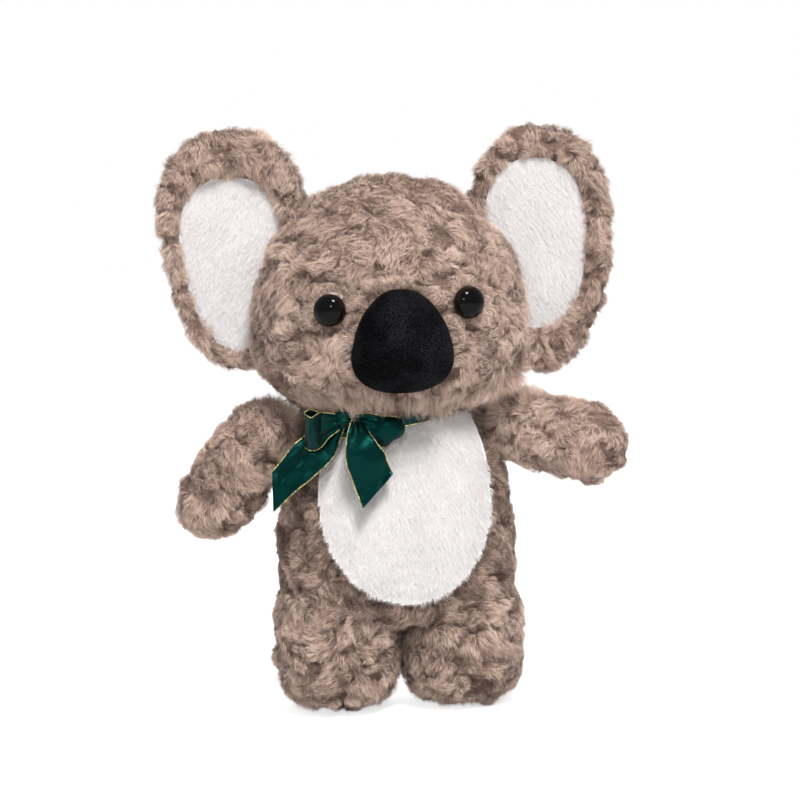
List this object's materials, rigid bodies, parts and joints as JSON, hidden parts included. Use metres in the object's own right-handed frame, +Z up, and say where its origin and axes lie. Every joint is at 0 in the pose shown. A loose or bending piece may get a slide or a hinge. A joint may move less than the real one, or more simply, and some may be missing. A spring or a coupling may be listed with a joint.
{
  "type": "plush koala",
  "caption": "Standing plush koala with curly brown pile, white ear linings and belly panel, padded black nose, safety eyes and a green satin ribbon tied in a bow.",
  "frame": {"origin": "middle of the bounding box, on the floor under the soles", "axes": "+Z up, the face looks along -Y, the toy's own left side at +X"},
  "size_m": [0.2352, 0.1292, 0.2966],
  "materials": {
    "curly_pile": "curly pile",
    "white_pile": "short pile",
    "velour": "matt velour",
    "satin": "satin",
    "filling": "fibre filling",
    "eye_plastic": "gloss",
    "washer_plastic": "plain"
  },
  "bodies": {
    "torso": {"body_cover": "curly_pile", "belly_panel": "white_pile", "body_stuffing": "filling", "leg_right_cover": "curly_pile", "leg_right_stuffing": "filling", "leg_left_cover": "curly_pile", "leg_left_stuffing": "filling", "neck_ribbon": "satin", "bow_knot": "satin", "bow_loop_right": "satin", "bow_loop_left": "satin", "bow_tail_right": "satin", "bow_tail_left": "satin"},
    "head": {"head_cover": "curly_pile", "head_stuffing": "filling", "nose_cover": "velour", "nose_padding": "filling", "eye_right": "eye_plastic", "eye_right_washer": "washer_plastic", "eye_left": "eye_plastic", "eye_left_washer": "washer_plastic", "ear_right_cover": "curly_pile", "ear_right_lining": "white_pile", "ear_right_wadding": "filling", "ear_left_cover": "curly_pile", "ear_left_lining": "white_pile", "ear_left_wadding": "filling"},
    "arm_right": {"arm_right_cover": "curly_pile", "arm_right_stuffing": "filling"},
    "arm_left": {"arm_left_cover": "curly_pile", "arm_left_stuffing": "filling"}
  },
  "joints": [
    {"name": "neck_turn", "type": "hinge", "parent": "torso", "child": "head", "pos_m": [-0.00213, 0.00928, 0.168], "axis": [0, 0, 1], "range_deg": [-15, 15], "stiffness_Nm_per_rad": 0.3},
    {"name": "shoulder_right", "type": "hinge", "parent": "torso", "child": "arm_right", "pos_m": [-0.06663, 0.00628, 0.141], "axis": [-0.1045, 0.9945, 0], "range_deg": [-8, 25], "stiffness_Nm_per_rad": 0.2},
    {"name": "shoulder_left", "type": "hinge", "parent": "torso", "child": "arm_left", "pos_m": [0.05787, 0.00628, 0.1395], "axis": [0.5, 0.866, 0], "range_deg": [-12, 25], "stiffness_Nm_per_rad": 0.2}
  ]
}
